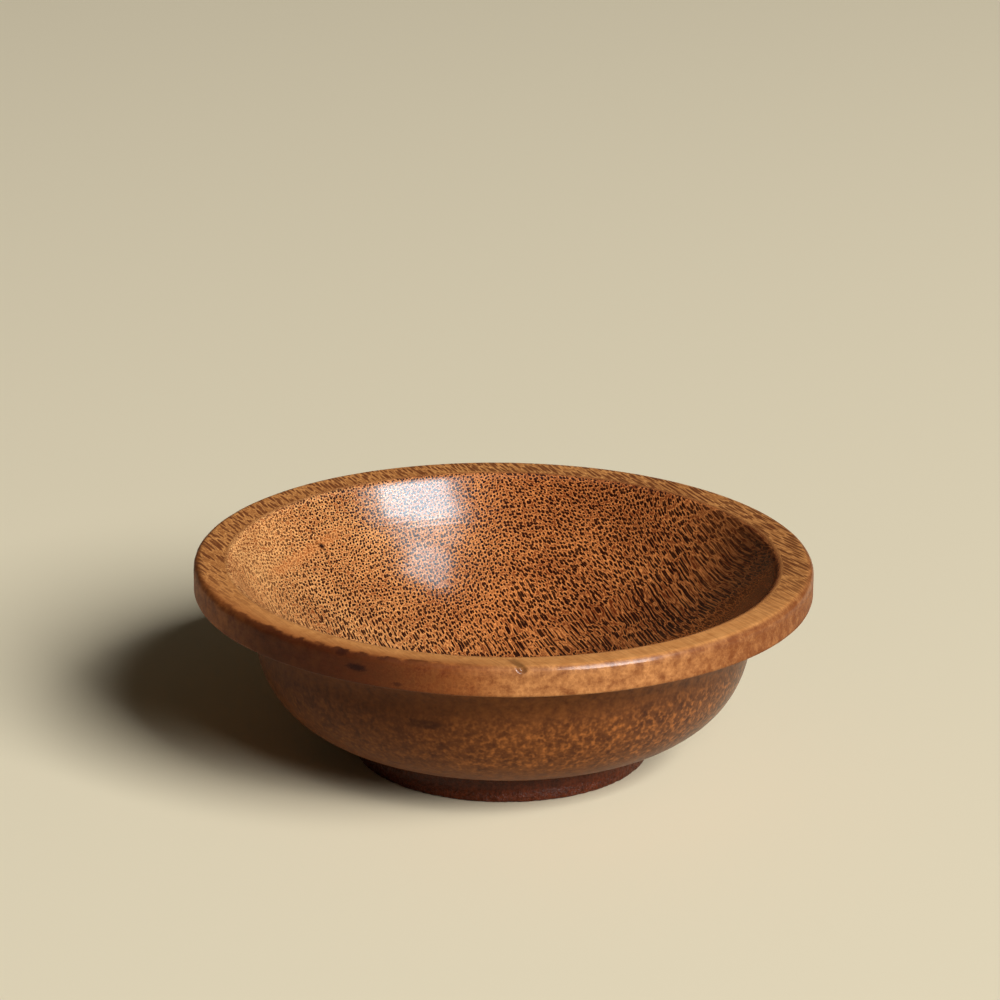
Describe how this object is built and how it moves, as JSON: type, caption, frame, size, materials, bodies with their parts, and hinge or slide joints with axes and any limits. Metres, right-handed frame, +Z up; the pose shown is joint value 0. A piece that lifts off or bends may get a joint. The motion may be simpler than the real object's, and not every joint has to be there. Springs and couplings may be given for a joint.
{
  "type": "turned wooden bowl",
  "caption": "Small round bowl turned from coconut palm wood, with a flat overhanging rim, a rounded side and a separate turned foot glued on by a spigot.",
  "frame": {"origin": "on the surface that the bowl stands on, under the middle of the foot", "axes": "+Z up along the bowl's turning axis; the bowl is round, so +X and +Y are free"},
  "size_m": [0.13, 0.13, 0.0429],
  "materials": {
    "bowl_wood": "coconut palm wood, orange brown with dark fibre bundles, clear lacquer",
    "foot_wood": "denser, darker palm wood, clear lacquer"
  },
  "bodies": {
    "root": {"bowl": "bowl_wood", "foot": "foot_wood"}
  },
  "joints": []
}
